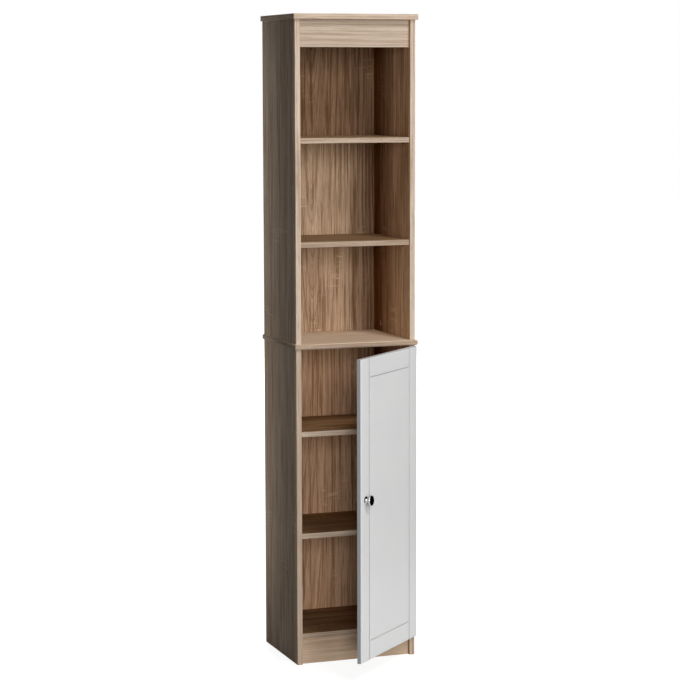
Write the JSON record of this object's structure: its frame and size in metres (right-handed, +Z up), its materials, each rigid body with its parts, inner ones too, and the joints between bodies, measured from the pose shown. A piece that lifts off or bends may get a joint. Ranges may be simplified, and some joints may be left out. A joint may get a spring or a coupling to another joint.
{
  "type": "tall bathroom cabinet",
  "caption": "Tall narrow bathroom cabinet in pale oak-effect board: open shelves above, and below a shelved cupboard behind a hinged white framed-look door with a round knob.",
  "frame": {"origin": "on the floor, in the plane of the back, at the middle of the width", "axes": "+X to the right seen from the front, +Y to the back, square to the back's face, +Z up along the height"},
  "size_m": [0.36, 0.5391, 1.8],
  "materials": {
    "oak": "matt oak-effect board with a printed grain",
    "oak_back": "matt oak-effect hardboard",
    "door_white": "satin white foil on fibreboard",
    "knob_chrome": "polished",
    "steel": "nickel-plated steel",
    "zinc": "die-cast zinc",
    "beech": "bare beech",
    "bumper": "soft, translucent"
  },
  "bodies": {
    "cabinet": {"top_board": "oak", "upper_side_left": "oak", "upper_side_right": "oak", "top_rail": "oak", "upper_back": "oak_back", "upper_shelf_high": "oak", "upper_shelf_low": "oak", "mid_board": "oak", "lower_side_left": "oak", "lower_side_right": "oak", "lower_back": "oak_back", "lower_shelf_high": "oak", "lower_shelf_low": "oak", "bottom_panel": "oak", "plinth": "oak", "hinge_plates": "steel", "hinge_arms": "steel", "hinge_arm_pins": "steel", "hinge_plate_screws": "steel", "hinge_arm_screws": "steel", "upper_shelf_pins": "steel", "lower_shelf_pins": "steel", "cam_locks": "zinc", "cam_bolts": "steel", "cam_covers": "oak", "dowels": "beech", "back_nails": "steel", "wall_brackets": "steel", "wall_bracket_screws": "steel"},
    "outer_links": {"hinge_outer_links": "steel"},
    "inner_links": {"hinge_inner_links": "steel"},
    "door": {"door_panel": "door_white", "door_knob": "knob_chrome", "knob_screw": "steel", "door_bumpers": "bumper", "hinge_cups": "steel", "hinge_cup_pins": "steel", "hinge_cup_screws": "steel"}
  },
  "joints": [
    {"name": "arm_pivot", "type": "hinge", "parent": "cabinet", "child": "outer_links", "pos_m": [0.134, -0.2834, 0.4695], "axis": [0, 0, 1], "range_deg": [-16.01, 13.77]},
    {"name": "door_hinge", "type": "hinge", "parent": "outer_links", "child": "door", "pos_m": [0.16283, -0.29602, 0.4695], "axis": [0, 0, 1], "range_deg": [-56.76, 66]},
    {"name": "inner_pivot", "type": "hinge", "parent": "cabinet", "child": "inner_links", "pos_m": [0.1546, -0.2917, 0.4695], "axis": [0, 0, 1], "range_deg": [-31.77, 27.32]}
  ],
  "couplings": [
    {"joint": "arm_pivot", "follows": "door_hinge", "ratio": -0.24242},
    {"joint": "inner_pivot", "follows": "door_hinge", "ratio": -0.48106}
  ]
}
